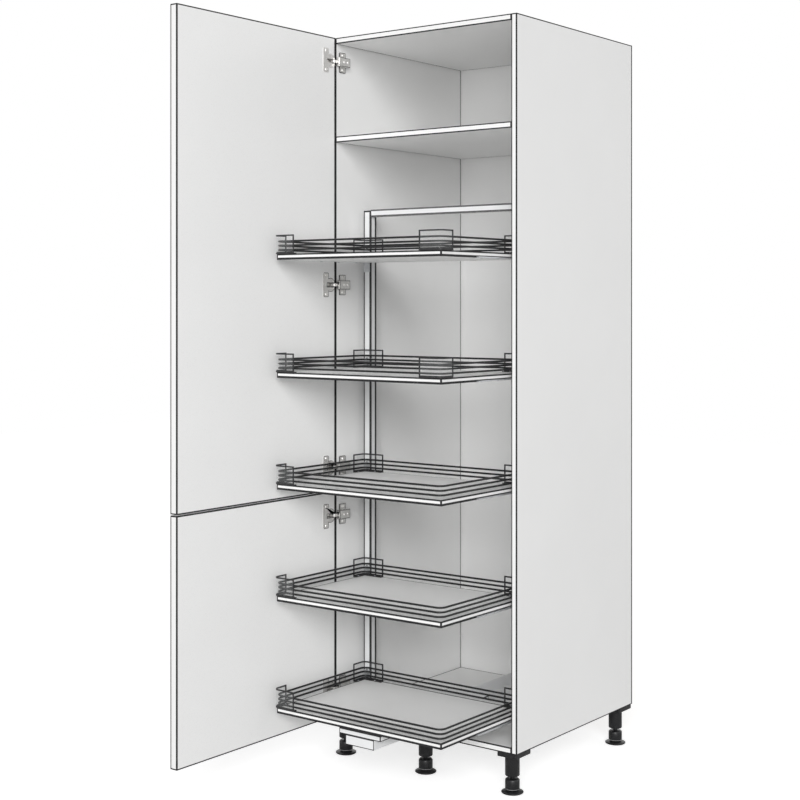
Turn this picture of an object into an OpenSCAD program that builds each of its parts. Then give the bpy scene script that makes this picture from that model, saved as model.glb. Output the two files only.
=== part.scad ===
// Tall pantry cabinet with two hinged doors and a pull-out frame of five railed trays.
// Shown as pictured: both doors open at a right angle and the pull-out at its outer stop.
// Carcase places are measured from the middle of its front edge at the underside,
// with x to the right, y into the depth and z up. The whole part then stands on z = 0.

/* [Carcase] */
// Outside width of the carcase
carcase_w = 600; // [580:10:640]
// Depth of the carcase from its front edges to the wall side
carcase_d = 600; // [580:10:640]
// Height of the carcase without its legs
carcase_h = 1850; // [1800:10:1900]
// Thickness of the carcase boards
panel_t = 16; // [16:1:19]
// Thickness of the back board
back_t = 3; // [3:1:8]
// Width of the rebate in the side boards that takes the back board
rebate_w = 8; // [6:1:10]
// Height of the fixed shelf's underside
shelf_z = 1565; // [1520:5:1600]
// Diameter of the wooden dowels in the board joints
dowel_d = 8; // [6:1:8]
// Dowel length inside a side board
dowel_in_side = 10; // [8:1:12]
// Dowel length inside the end of a cross board
dowel_in_board = 20; // [18:1:25]
// Distance of the outer dowels from the front and back of a cross board
dowel_inset = 50; // [40:5:80]

/* [Doors] */
// Thickness of the doors
door_t = 22; // [19:1:22]
// Height of the lower door
lower_door_h = 613; // [560:1:640]
// Gap between the two doors
door_gap = 3; // [2:0.5:4]
// Distance that a closed door stays back from the carcase's outer edge
door_reveal = 1.5; // [1:0.5:2]
// Gap between a closed door and the carcase front
closed_gap = 3; // [3:0.5:4]
// Gap between the door edge and the carcase front when the door stands open
open_gap = 3.5; // [3.5:0.5:4.5]

/* [Hinges] */
// Diameter of the hinge cups
cup_d = 35; // [35:1:40]
// Board left between a cup bore and the door edge
cup_edge = 3; // [3:0.5:4]
// Floor of a hinge cup
cup_floor = 1.2; // [1:0.1:2]
// Wall of a hinge cup at the far end of its pocket
cup_wall = 3; // [2:0.5:4]
// Height of a cup flange
flange_h = 66; // [60:1:70]
// Width of a cup flange's ears
flange_w = 22; // [20:1:28]
// Distance of the ears' middle beyond the cup's middle
flange_offset = 19; // [15:0.5:20]
// Thickness of the cup flange
flange_t = 1.5; // [1:0.1:1.6]
// Diameter of a hinge pin
hinge_pin_d = 2.4; // [2:0.1:2.6]
// Distance of a hinge pin's ends inside the cup's round wall
pin_end_in = 3; // [3:0.5:4]
// Radius of the eye round a hinge pin
eye_r = 2.5; // [2.2:0.1:2.6]
// Width of the curved link
link_w = 10; // [6:0.5:10]
// Thickness of the curved link
link_t = 3.4; // [3:0.1:3.6]
// Distance that the link dips away from the door edge inside the cup
link_dip = 2.4; // [2:0.1:2.6]
// Distance of the mounting screws behind the carcase front
plate_line = 26; // [24:1:37]
// Height of a mounting plate's wings
plate_wing_h = 55; // [50:1:60]
// Width of a mounting plate's wings
plate_wing_w = 26; // [22:1:30]
// Thickness of a mounting plate's wings
plate_wing_t = 3; // [2:0.5:3]
// Length of a hinge arm behind the carcase front
arm_len = 44; // [44:1:62]
// Width of a hinge arm
arm_w = 24; // [20:1:26]
// Rise of a hinge arm over its wings
arm_rise = 11.5; // [10:0.5:12]
// Wall of a hinge arm
arm_wall = 1.8; // [1.2:0.1:2]
// Distance of the top hinge below the upper door's top edge
hinge_top_in = 65; // [60:1:100]
// Height of the upper door's middle hinge over its bottom edge
hinge_mid_up = 560; // [480:1:640]
// Distance of the hinges beside the door joint from the door edges
hinge_joint_in = 64; // [60:1:90]
// Height of the lowest hinge over the lower door's bottom edge
hinge_foot_up = 78; // [60:1:100]

/* [Legs] */
// Height of the legs
leg_h = 105; // [95:1:125]
// Diameter of the sleeve and the barrel
leg_d = 37; // [32:1:40]
// Diameter of the foot
foot_d = 57; // [50:1:60]
// Height of the foot
foot_h = 7; // [6:1:10]
// Diameter of the stub that holds the foot in the barrel
stub_d = 12.2; // [10:0.2:14]
// Length of the stub inside the barrel
stub_len = 11; // [8:1:12]
// Height of the gap between the foot and the barrel
foot_gap = 3; // [1:0.5:4]
// Height of the barrel
barrel_h = 26.5; // [24:0.5:34]
// Height of the groove between the sleeve and the barrel
groove_h = 7; // [3:1:8]
// Diameter of the levelling stem
stem_d = 12; // [10:1:14]
// Thickness of the socket plate
socket_t = 12; // [10:1:14]
// Width of the socket plate
socket_w = 58; // [50:1:60]
// Depth of the socket plate
socket_l = 68; // [60:1:75]
// Distance of the outer leg axes from the sides
leg_side_in = 30; // [30:1:60]
// Distance of the front leg axes from the front
leg_front_in = 27; // [27:1:60]
// Distance of the rear leg axes from the back
leg_rear_in = 43; // [30:1:60]

/* [Wall brackets] */
// Length of each bracket leg
bracket_leg = 30; // [25:1:40]
// Thickness of the brackets
bracket_t = 2.5; // [2:0.5:3]
// Width of the brackets
bracket_w = 28; // [20:1:40]
// Diameter of the wall screw hole
bracket_hole_d = 6; // [5:0.5:7]
// Distance of each bracket from the middle
bracket_x = 200; // [120:10:240]

/* [Trays] */
// Travel of the pull-out from closed to its outer stop
pull_travel = 281; // [240:1:290]
// Distance of the closed trays behind the carcase front
tray_setback = 14; // [10:1:20]
// Width of a tray
tray_w = 520; // [480:5:528]
// Depth of a tray
tray_d = 368; // [340:1:380]
// Thickness of a tray board
tray_t = 15; // [12:1:16]
// Height of the lowest tray's top face over the carcase underside
tray_first = 85; // [80:1:100]
// Step between the trays
tray_pitch = 288; // [256:16:304]
// Step between the fourth tray and the top one
tray_top_step = 304; // [272:16:320]
// Wire diameter of the railings
wire_d = 5; // [4:0.5:6]
// Height of the lowest wire's axis over the tray
wire_first = 10.5; // [8:0.5:12]
// Step between the wires
wire_step = 11; // [10:0.5:13]
// Radius of the railing corners at the wire's axis
wire_r = 18; // [14:1:20]
// Distance of the wires' axes outside the tray's front and side edges
wire_out = 1.5; // [0:0.5:2]
// Height of the corner plates
corner_h = 49; // [46:1:60]
// Thickness of the corner plates
corner_t = 2; // [1.5:0.5:2.5]
// Outer radius of a corner plate's bend
corner_r = 14; // [13:1:15]
// Length of a corner plate along the front or back
corner_x = 68; // [50:1:74]
// Length of a corner plate along the side
corner_y = 48; // [40:1:60]
// Width of the corner plate's folded foot on the tray
corner_foot = 10; // [8:0.5:10]
// Width of the carrying arms under a tray
carrier_w = 20; // [16:1:22]
// Thickness of the carrying arms
carrier_t = 3; // [2:0.5:4]
// Length of the carrying arms under the tray
carrier_len = 220; // [150:10:300]
// Drop of a carrier plate below the tray
carrier_drop = 26; // [20:1:28]
// Rise of a carrier plate over the tray
carrier_rise = 24; // [16:1:40]
// Width of a carrier hook
hook_w = 6; // [5:0.5:8]
// Height of a carrier hook
hook_h = 8; // [6:1:10]
// Length of the lip that a carrier hook has behind the post's wall
hook_lip = 4; // [3:0.5:5]

/* [Frame] */
// Outside width of the pull-out frame
frame_w = 540; // [530:2:552]
// Height of the frame's top over the carcase underside
frame_top = 1385; // [1360:1:1400]
// Height of the posts' lower ends over the carcase underside
post_foot = 40; // [34:1:44]
// Width of a post
post_w = 25; // [20:1:30]
// Depth of a post and of the frame rails
post_d = 27; // [20:1:30]
// Height of the frame rails
rail_h = 20; // [16:1:25]
// Wall of the frame tubes
tube_wall = 2; // [1.5:0.5:3]
// Edge rounding of the frame tubes
tube_r = 2; // [1:0.5:3]
// Thickness of a post cap's head
cap_head = 2; // [1.5:0.5:4]
// Depth of a post cap's plug
cap_plug = 10; // [6:1:10]

/* [Runner] */
// Width of the moving channel
channel_w = 90; // [80:1:100]
// Clear height of the moving channel over the floor board
channel_lift = 9; // [6:1:12]
// Length of the moving channel
channel_len = 480; // [440:10:500]
// Distance of the closed channel behind the carcase front
channel_setback = 30; // [20:1:32]
// Wall of the channel and the fixed rail
runner_wall = 2.5; // [2:0.5:3]
// Width of the carriage plate
carriage_w = 130; // [110:5:150]
// Height of the carriage plate's folded edge
carriage_h = 13.5; // [10:0.5:16]
// Height of the carriage plate's top over the carcase underside
carriage_top = 63.5; // [60:0.5:66]
// Width of the fixed rail
fixed_w = 74; // [64:1:80]
// Length of the fixed rail
fixed_len = 500; // [460:10:530]
// Distance of the fixed rail behind the carcase front
fixed_setback = 46; // [45:1:60]
// Diameter of the bearing balls
ball_d = 6; // [5:0.5:6]
// Height of the ball row over the floor board
ball_up = 20; // [18:1:22]
// Bearing balls on each side
ball_count = 8; // [4:1:8]
// Step between the bearing balls
ball_step = 22; // [18:1:22]
// Thickness of the ball cages
cage_t = 1.8; // [1.5:0.1:2.5]
// Height of the ball cages
cage_h = 12; // [10:1:14]

/* [Fits] */
// Gap round pieces that are set into a board
set_gap = 0.05; // [0.03:0.01:0.1]
// Running gap between a pin or ball and its seat
run_gap = 0.05; // [0.03:0.01:0.08]
// Gap beside parts that move past each other in a hinge cup
cup_gap = 0.3; // [0.2:0.05:0.4]
// Gap round a hook in its slot
hook_gap = 0.3; // [0.2:0.05:0.4]

/* [Hidden] */
$fn = 64;
// Cuts run this far past the face that they open
cut = 1;

// Carcase
inner_w = carcase_w - 2 * panel_t;
in_left = -inner_w / 2;
board_d = carcase_d - back_t;
floor_z = panel_t;
top_z = carcase_h - panel_t;
dowel_ys = [dowel_inset, board_d / 2, board_d - dowel_inset];

// Doors. The hinge axis lets one door swing from closed over the side board's edge to
// open along the side board's inner face.
door_w = carcase_w - 2 * door_reveal;
upper_door_z = lower_door_h + door_gap;
upper_door_h = carcase_h - upper_door_z;
door_edge_y = -open_gap;
axis_x = -carcase_w / 2 + (panel_t + closed_gap + door_reveal - open_gap) / 2;
axis_y = (door_reveal - open_gap - panel_t - closed_gap) / 2;
upper_hinge_zs = [
    upper_door_z + hinge_joint_in,
    upper_door_z + hinge_mid_up,
    carcase_h - hinge_top_in
];
lower_hinge_zs = [hinge_foot_up, lower_door_h - hinge_joint_in];
hinge_zs = concat(lower_hinge_zs, upper_hinge_zs);

// Hinges
cup_y = door_edge_y - cup_edge - cup_d / 2;
pocket_depth = in_left - axis_x + link_dip + link_t / 2 + 2 * cup_gap;
cup_depth = pocket_depth + cup_floor;
pocket_near_y = axis_y + eye_r + cup_gap;
pocket_far_y = cup_y - cup_d / 2 + cup_wall;
pin_len = 2 * (sqrt(pow(cup_d / 2, 2) - pow(axis_y - cup_y, 2)) - pin_end_in);
arm_front = 1;
arm_top = plate_wing_t + arm_rise;
plate_rail_in = 8;
link_lift = 0.5;
link_x = in_left + plate_wing_t + link_lift + link_t / 2;

// Legs, at the corners and under the middle of the front edge
leg_xs = carcase_w / 2 - leg_side_in;
leg_rear_y = carcase_d - leg_rear_in;
leg_places = [
    [-leg_xs, leg_front_in], [0, leg_front_in], [leg_xs, leg_front_in],
    [-leg_xs, leg_rear_y], [leg_xs, leg_rear_y]
];
foot_top = -leg_h + foot_h;
barrel_low = foot_top + foot_gap;
barrel_top = barrel_low + barrel_h;
sleeve_low = barrel_top + groove_h;

// Pull-out at its outer stop
tray_y = tray_setback - pull_travel;
tray_rear_y = tray_y + tray_d;
post_y = tray_rear_y + carrier_t;
post_x = frame_w / 2 - post_w;
tray_tops = [
    tray_first + 3 * tray_pitch + tray_top_step,
    tray_first + 3 * tray_pitch,
    tray_first + 2 * tray_pitch,
    tray_first + tray_pitch,
    tray_first
];
corner_out = wire_out + wire_d / 2 + corner_t;
rail_w = tray_w + 2 * wire_out;
rail_front_y = tray_y - wire_out;
rail_rear_y = tray_rear_y - corner_t - wire_d / 2;
carrier_x = post_x + post_w / 2;
hook_zs = [-tray_t - carrier_drop + hook_h + hook_lip, carrier_rise - hook_h - 2];

// Runner
channel_y = channel_setback - pull_travel;
channel_z = floor_z + channel_lift;
channel_top = carriage_top - tube_wall;
channel_in = channel_w / 2 - runner_wall;
ball_x = (fixed_w / 2 + channel_in) / 2;
ball_z = floor_z + ball_up;
race_r = ball_d / 2 + run_gap;
rail_gap = 3;
fixed_top = channel_top - runner_wall - rail_gap;
cage_end = 12;
cage_len = (ball_count - 1) * ball_step + 2 * cage_end;
cage_in = 2.5;
cage_y = fixed_setback + cage_in;

module placed() {
    translate([0, -leg_front_in, leg_h]) children();
}

// A flat outline with round corners, its lower left corner at the origin
module rounded(w, d, r) {
    translate([r, 0]) square([w - 2 * r, d]);
    translate([0, r]) square([w, d - 2 * r]);
    for (x = [r, w - r]) {
        for (y = [r, d - r]) {
            translate([x, y]) circle(r);
        }
    }
}

// A straight bar of a curved outline, from one point to the next, with round ends
module bar(from, to, t) {
    run = to - from;
    translate(from) circle(d = t);
    translate(to) circle(d = t);
    translate(from) rotate(atan2(run[1], run[0])) translate([0, -t / 2]) square([norm(run), t]);
}

// Carcase boards

module side_board() {
    difference() {
        translate([-panel_t, 0, 0]) cube([panel_t, carcase_d, carcase_h]);
        translate([-rebate_w, board_d, -cut]) cube([rebate_w + cut, back_t + cut, carcase_h + 2 * cut]);
        for (z = [panel_t / 2, shelf_z + panel_t / 2, carcase_h - panel_t / 2]) {
            for (y = dowel_ys) {
                translate([-dowel_in_side - 1, y, z]) rotate([0, 90, 0]) cylinder(d = dowel_d, h = panel_t);
            }
        }
    }
}

module cross_board(z) {
    translate([0, 0, z]) difference() {
        translate([in_left, 0, 0]) cube([inner_w, board_d, panel_t]);
        for (end = [0, 1]) {
            mirror([end, 0, 0]) {
                for (y = dowel_ys) {
                    translate([in_left - cut, y, panel_t / 2]) rotate([0, 90, 0])
                        cylinder(d = dowel_d, h = dowel_in_board + 1 + cut);
                }
            }
        }
    }
}

module left_side() {
    color("white") placed() translate([in_left, 0, 0]) side_board();
}

module right_side() {
    color("white") placed() mirror([1, 0, 0]) translate([in_left, 0, 0]) side_board();
}

module top_panel() {
    color("white") placed() cross_board(top_z);
}

module bottom_panel() {
    color("white") placed() cross_board(0);
}

module fixed_shelf() {
    color("white") placed() cross_board(shelf_z);
}

module back_panel() {
    w = inner_w + 2 * (rebate_w - set_gap);
    color("whitesmoke") placed() translate([-w / 2, board_d, 0]) cube([w, back_t, carcase_h]);
}

module carcase_dowels() {
    color("burlywood") placed() {
        for (end = [0, 1]) {
            mirror([end, 0, 0]) {
                for (z = [panel_t / 2, shelf_z + panel_t / 2, carcase_h - panel_t / 2]) {
                    for (y = dowel_ys) {
                        translate([in_left - dowel_in_side, y, z]) rotate([0, 90, 0])
                            cylinder(d = dowel_d - 2 * set_gap, h = dowel_in_side + dowel_in_board);
                    }
                }
            }
        }
    }
}

// Steel angles on top, flush with the back, for the screws into the wall
module wall_brackets() {
    color("silver") placed() {
        for (x = [-bracket_x, bracket_x]) {
            translate([x - bracket_w / 2, carcase_d - bracket_leg, carcase_h]) difference() {
                union() {
                    cube([bracket_w, bracket_leg, bracket_t]);
                    translate([0, bracket_leg - bracket_t, 0]) cube([bracket_w, bracket_t, bracket_leg]);
                }
                translate([bracket_w / 2, bracket_leg + cut, bracket_leg * 0.6]) rotate([90, 0, 0])
                    cylinder(d = bracket_hole_d, h = bracket_t + 2 * cut);
            }
        }
    }
}

// Legs

// The plates stop just inside the carcase's outline and carry the sleeve off their middle
module leg_sockets() {
    plate_in = 2;
    plate_x = carcase_w / 2 - plate_in - socket_w;
    color("#222222") placed() {
        for (place = leg_places) {
            plate_left = place[0] == 0 ? -socket_w / 2 : (place[0] > 0 ? plate_x : -plate_x - socket_w);
            plate_front = place[1] < carcase_d / 2 ? plate_in : carcase_d - plate_in - socket_l;
            difference() {
                union() {
                    translate([plate_left, plate_front, -socket_t]) linear_extrude(socket_t)
                        rounded(socket_w, socket_l, 3);
                    translate([place[0], place[1], sleeve_low]) cylinder(d = leg_d, h = -sleeve_low - cut);
                }
                translate([place[0], place[1], sleeve_low - cut])
                    cylinder(d = stem_d + 2 * run_gap, h = -sleeve_low - 4 + cut);
                translate([place[0], place[1], sleeve_low]) rotate_extrude() polygon([
                    [leg_d / 2 - 1.5, 0], [leg_d / 2, 1.5], [leg_d / 2 + 1, -cut], [leg_d / 2, -cut]
                ]);
            }
        }
    }
}

// Barrel with its chamfered shoulder and the stem that turns up into the sleeve
module leg_barrels() {
    bore_r = stub_d / 2 + 2 * run_gap;
    color("#222222") placed() {
        for (place = leg_places) {
            translate([place[0], place[1], barrel_low]) rotate_extrude() polygon([
                [bore_r, 0], [leg_d / 2 - 1, 0], [leg_d / 2, 1], [leg_d / 2, barrel_h - 3],
                [leg_d / 2 - 3, barrel_h], [stem_d / 2, barrel_h],
                [stem_d / 2, -barrel_low - socket_t], [0, -barrel_low - socket_t],
                [0, stub_len + 1], [bore_r, stub_len + 1]
            ]);
        }
    }
}

// Flared foot whose stub stands in the barrel
module leg_feet() {
    stub_top = foot_h + foot_gap + stub_len;
    color("#222222") placed() {
        for (place = leg_places) {
            translate([place[0], place[1], -leg_h]) rotate_extrude() polygon([
                [0, 0], [foot_d / 2 - 3, 0], [foot_d / 2 - 0.8, 1.2], [foot_d / 2, 3],
                [foot_d / 2 - 0.6, 4.4], [leg_d / 2 + 1, foot_h], [stub_d / 2, foot_h],
                [stub_d / 2, stub_top], [0, stub_top]
            ]);
        }
    }
}

// Hinges

// Cross-shaped plates on the side board, each with a raised rail under the arm
module hinge_plates() {
    color("silver") placed() {
        for (z = hinge_zs) {
            translate([in_left, plate_line, z]) {
                rotate([0, 90, 0]) linear_extrude(plate_wing_t)
                    translate([-plate_wing_h / 2, -plate_wing_w / 2])
                        rounded(plate_wing_h, plate_wing_w, 3);
                translate([0, -plate_line + plate_rail_in, -arm_w / 4])
                    cube([arm_top - arm_wall, arm_len - plate_rail_in - 4, arm_w / 2]);
            }
        }
    }
}

// Folded arm over the plate's rail, with the curved link that reaches the pin in the cup
module hinge_arms() {
    low = plate_wing_t + 0.2;
    dip_y = axis_y - link_dip;
    turn_x = link_x - 1.5;
    color("silver") placed() {
        for (z = hinge_zs) {
            translate([0, 0, z]) difference() {
                union() {
                    translate([in_left + low, arm_front, -arm_w / 2])
                        cube([arm_top - low, arm_len - arm_front, arm_w]);
                    translate([0, 0, -link_w / 2]) linear_extrude(link_w) {
                        translate([axis_x, axis_y]) circle(eye_r);
                        bar([axis_x, axis_y], [axis_x + 4, dip_y], link_t * 0.9);
                        bar([axis_x + 4, dip_y], [turn_x, dip_y], link_t);
                        bar([turn_x, dip_y], [link_x, dip_y + 1.5], link_t);
                        bar([link_x, dip_y + 1.5], [link_x, arm_front + 2], link_t);
                    }
                }
                translate([in_left + low - cut, arm_front + arm_wall, -arm_w / 2 + arm_wall])
                    cube([arm_top - arm_wall - low + cut, arm_len, arm_w - 2 * arm_wall]);
                translate([axis_x, axis_y, -link_w / 2 - cut])
                    cylinder(d = hinge_pin_d + 2 * run_gap, h = link_w + 2 * cut);
            }
        }
    }
}

// Cup with its flange, open in the middle for the curved link
module hinge_cups(zs) {
    pocket_w = link_w + 2 * cup_gap;
    for (z = zs) {
        translate([in_left, cup_y, z]) difference() {
            union() {
                rotate([0, -90, 0]) cylinder(d = cup_d - 2 * set_gap, h = cup_depth);
                rotate([0, 90, 0]) linear_extrude(flange_t) {
                    circle(d = cup_d + 3);
                    translate([-flange_h / 2, -flange_offset - flange_w / 2])
                        rounded(flange_h, flange_w, 4);
                }
            }
            translate([-pocket_depth, pocket_far_y - cup_y, -pocket_w / 2])
                cube([pocket_depth + flange_t + cut, pocket_near_y - pocket_far_y, pocket_w]);
            translate([axis_x - in_left, axis_y - cup_y, -pin_len / 2])
                cylinder(d = hinge_pin_d, h = pin_len);
        }
    }
}

module hinge_pins(zs) {
    for (z = zs) {
        translate([axis_x, axis_y, z - pin_len / 2]) cylinder(d = hinge_pin_d, h = pin_len);
    }
}

module upper_hinge_cups() {
    color("silver") placed() hinge_cups(upper_hinge_zs);
}

module lower_hinge_cups() {
    color("silver") placed() hinge_cups(lower_hinge_zs);
}

module upper_hinge_pins() {
    color("gray") placed() hinge_pins(upper_hinge_zs);
}

module lower_hinge_pins() {
    color("gray") placed() hinge_pins(lower_hinge_zs);
}

// Doors

module door(z, h, zs) {
    difference() {
        translate([in_left - door_t, door_edge_y - door_w, z]) cube([door_t, door_w, h]);
        for (hinge_z = zs) {
            translate([in_left + cut, cup_y, hinge_z]) rotate([0, -90, 0])
                cylinder(d = cup_d, h = cup_depth + cut + set_gap);
        }
    }
}

module upper_door() {
    color("white") placed() door(upper_door_z, upper_door_h, upper_hinge_zs);
}

module lower_door() {
    color("white") placed() door(0, lower_door_h, lower_hinge_zs);
}

// Frame of the pull-out

module tube_outline(w, d) {
    difference() {
        rounded(w, d, tube_r);
        translate([tube_wall, tube_wall]) square([w - 2 * tube_wall, d - 2 * tube_wall]);
    }
}

// Post with a slot for each carrier hook
module post() {
    difference() {
        translate([post_x, post_y, post_foot]) linear_extrude(frame_top - post_foot - cap_head)
            tube_outline(post_w, post_d);
        for (top = tray_tops) {
            for (up = hook_zs) {
                translate([carrier_x - hook_w / 2 - hook_gap, post_y - cut, top + up - hook_gap])
                    cube([hook_w + 2 * hook_gap, tube_wall + 2 * cut, hook_h + hook_lip + 2 * hook_gap]);
            }
        }
    }
}

module left_post() {
    color("white") placed() mirror([1, 0, 0]) post();
}

module right_post() {
    color("white") placed() post();
}

module frame_rail(z) {
    translate([-post_x, post_y, z]) rotate([90, 0, 90]) linear_extrude(2 * post_x)
        tube_outline(post_d, rail_h);
}

module frame_top_rail() {
    color("white") placed() frame_rail(frame_top - rail_h);
}

module frame_bottom_rail() {
    color("white") placed() frame_rail(carriage_top);
}

// Plug with a head as wide as the post, its foot on the post's end
module post_cap() {
    inset = tube_wall + set_gap;
    linear_extrude(cap_head) rounded(post_w, post_d, tube_r);
    translate([inset, inset, -cap_plug])
        cube([post_w - 2 * inset, post_d - 2 * inset, cap_plug + cap_head / 2]);
}

// Plastic plugs that close the post ends
module post_caps() {
    color("lightgray") placed() {
        for (side = [0, 1]) {
            mirror([side, 0, 0]) {
                translate([post_x, post_y, frame_top - cap_head]) post_cap();
                translate([post_x, post_y, post_foot]) mirror([0, 0, 1]) post_cap();
            }
        }
    }
}

// Steel angles that screw the frame's lower rail down on the carriage plate
module frame_gussets() {
    leg = 36;
    wide = 40;
    gusset_t = 3;
    color("silver") placed() {
        for (side = [0, 1]) {
            mirror([side, 0, 0]) translate([8, post_y + post_d, carriage_top]) {
                cube([wide, leg, gusset_t]);
                cube([wide, gusset_t, rail_h]);
                for (x = [0, wide - gusset_t]) {
                    translate([x, 0, 0]) rotate([90, 0, 90]) linear_extrude(gusset_t)
                        polygon([[0, 0], [leg, 0], [leg, gusset_t], [gusset_t, rail_h], [0, rail_h]]);
                }
            }
        }
    }
}

// Floor runner

// Rail on the floor board, open upwards, with a ball race along each side
module runner_rail() {
    color("lightgray") placed() difference() {
        translate([-fixed_w / 2, fixed_setback, floor_z]) cube([fixed_w, fixed_len, fixed_top - floor_z]);
        translate([-fixed_w / 2 + runner_wall, fixed_setback - cut, floor_z + runner_wall])
            cube([fixed_w - 2 * runner_wall, fixed_len + 2 * cut, fixed_top]);
        for (x = [-ball_x, ball_x]) {
            translate([x, fixed_setback - cut, ball_z]) rotate([-90, 0, 0])
                cylinder(r = race_r, h = fixed_len + 2 * cut);
        }
    }
}

// Channel that runs over the rail and carries the frame
module runner_channel() {
    len = channel_len - tube_wall;
    color("lightgray") placed() translate([0, channel_y + tube_wall, 0]) difference() {
        translate([-channel_w / 2, 0, channel_z]) cube([channel_w, len, channel_top - channel_z]);
        translate([-channel_in, -cut, channel_z - cut])
            cube([2 * channel_in, len + 2 * cut, channel_top - channel_z - runner_wall + cut]);
        for (x = [-ball_x, ball_x]) {
            translate([x, -cut, ball_z]) rotate([-90, 0, 0]) cylinder(r = race_r, h = len + 2 * cut);
        }
    }
}

// Plug that closes the channel's front below the carriage plate
module runner_end_cap() {
    cap_h = carriage_top - carriage_h - channel_z;
    color("white") placed() translate([0, channel_y, channel_z]) {
        translate([-channel_w / 2, 0, 0]) cube([channel_w, tube_wall, cap_h]);
        translate([-channel_in + 5, 0, 3]) cube([2 * channel_in - 10, 12, cap_h - 6]);
    }
}

// Sheet, folded down at its front and sides, that lies on the channel and takes the frame
module carriage_plate() {
    low = carriage_top - carriage_h;
    color("white") placed() translate([-carriage_w / 2, channel_y, low]) difference() {
        cube([carriage_w, channel_len, carriage_h]);
        translate([tube_wall, tube_wall, -cut])
            cube([carriage_w - 2 * tube_wall, channel_len, carriage_h - tube_wall + cut]);
    }
}

module ball_row() {
    for (x = [-ball_x, ball_x]) {
        for (i = [0:ball_count - 1]) {
            translate([x, cage_y + cage_end + i * ball_step, ball_z]) children();
        }
    }
}

module ball_cages() {
    color("gray") placed() difference() {
        for (x = [-ball_x, ball_x]) {
            translate([x - cage_t / 2, cage_y, ball_z - cage_h / 2]) cube([cage_t, cage_len, cage_h]);
        }
        ball_row() rotate([0, 90, 0])
            cylinder(d = ball_d + 2 * run_gap, h = cage_t + 2 * cut, center = true);
    }
}

module bearing_balls() {
    color("silver") placed() ball_row() sphere(d = ball_d, $fn = 24);
}

// Trays, counted from the top

module tray(n) {
    top = tray_tops[n - 1];
    difference() {
        translate([-tray_w / 2, tray_y, top - tray_t]) cube([tray_w, tray_d, tray_t]);
        for (x = [-carrier_x, carrier_x]) {
            translate([x - carrier_w / 2 - 0.2, tray_rear_y - carrier_len, top - tray_t - cut])
                cube([carrier_w + 0.4, carrier_len + cut, carrier_t + cut]);
        }
    }
}

// One closed wire with round corners, its outline given at the wire's axis
module wire_loop(w, d) {
    for (side = [0, 1]) {
        mirror([side, 0, 0]) translate([w / 2, wire_r, 0]) rotate([-90, 0, 0])
            cylinder(d = wire_d, h = d - 2 * wire_r);
    }
    for (y = [0, d]) {
        translate([-w / 2 + wire_r, y, 0]) rotate([0, 90, 0]) cylinder(d = wire_d, h = w - 2 * wire_r);
    }
    for (corner = [[1, 0, -90], [1, 1, 0], [-1, 1, 90], [-1, 0, 180]]) {
        translate([corner[0] * (w / 2 - wire_r), corner[1] == 0 ? wire_r : d - wire_r, 0])
            rotate([0, 0, corner[2]]) rotate_extrude(angle = 90) translate([wire_r, 0]) circle(d = wire_d);
    }
}

module railing(n) {
    for (i = [0:2]) {
        translate([0, rail_front_y, tray_tops[n - 1] + wire_first + i * wire_step])
            wire_loop(rail_w, rail_rear_y - rail_front_y);
    }
}

// A band round a corner, its outer outline always the plate's
module corner_band(t) {
    translate([corner_r, 0]) square([corner_x - corner_r, t]);
    translate([0, corner_r]) square([t, corner_y - corner_r]);
    intersection() {
        translate([corner_r, corner_r]) difference() {
            circle(corner_r);
            circle(corner_r - t);
        }
        square([corner_r, corner_r]);
    }
}

// Bent plate outside the wires, with a folded foot that stands on the tray
module corner_plate() {
    linear_extrude(corner_h) corner_band(corner_t);
    linear_extrude(corner_t) corner_band(corner_t + corner_foot);
}

// The plates overhang the tray's sides and front, and are flush with its back, where the
// posts stand. The three lower trays have no plate at the front right corner.
module corner_plates(n) {
    front_sides = n <= 2 ? [0, 1] : [0];
    plate_x = -tray_w / 2 - corner_out;
    translate([0, 0, tray_tops[n - 1]]) {
        for (side = front_sides) {
            mirror([side, 0, 0]) translate([plate_x, tray_y - corner_out, 0]) corner_plate();
        }
        for (side = [0, 1]) {
            mirror([side, 0, 0]) translate([plate_x, tray_rear_y, 0]) mirror([0, 1, 0]) corner_plate();
        }
    }
}

// Arm let into the tray's underside and a plate that hooks into the post
module tray_carriers(n) {
    top = tray_tops[n - 1];
    for (side = [0, 1]) {
        mirror([side, 0, 0]) translate([carrier_x, tray_rear_y, top]) {
            translate([-carrier_w / 2, -carrier_len, -tray_t]) cube([carrier_w, carrier_len, carrier_t]);
            translate([-carrier_w / 2, 0, -tray_t - carrier_drop])
                cube([carrier_w, carrier_t, tray_t + carrier_drop + carrier_rise]);
            for (up = hook_zs) {
                translate([-hook_w / 2, carrier_t, up])
                    cube([hook_w, tube_wall + hook_gap + carrier_t, hook_h]);
                translate([-hook_w / 2, carrier_t + tube_wall + hook_gap, up - hook_lip])
                    cube([hook_w, carrier_t, hook_lip]);
            }
        }
    }
}

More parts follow.
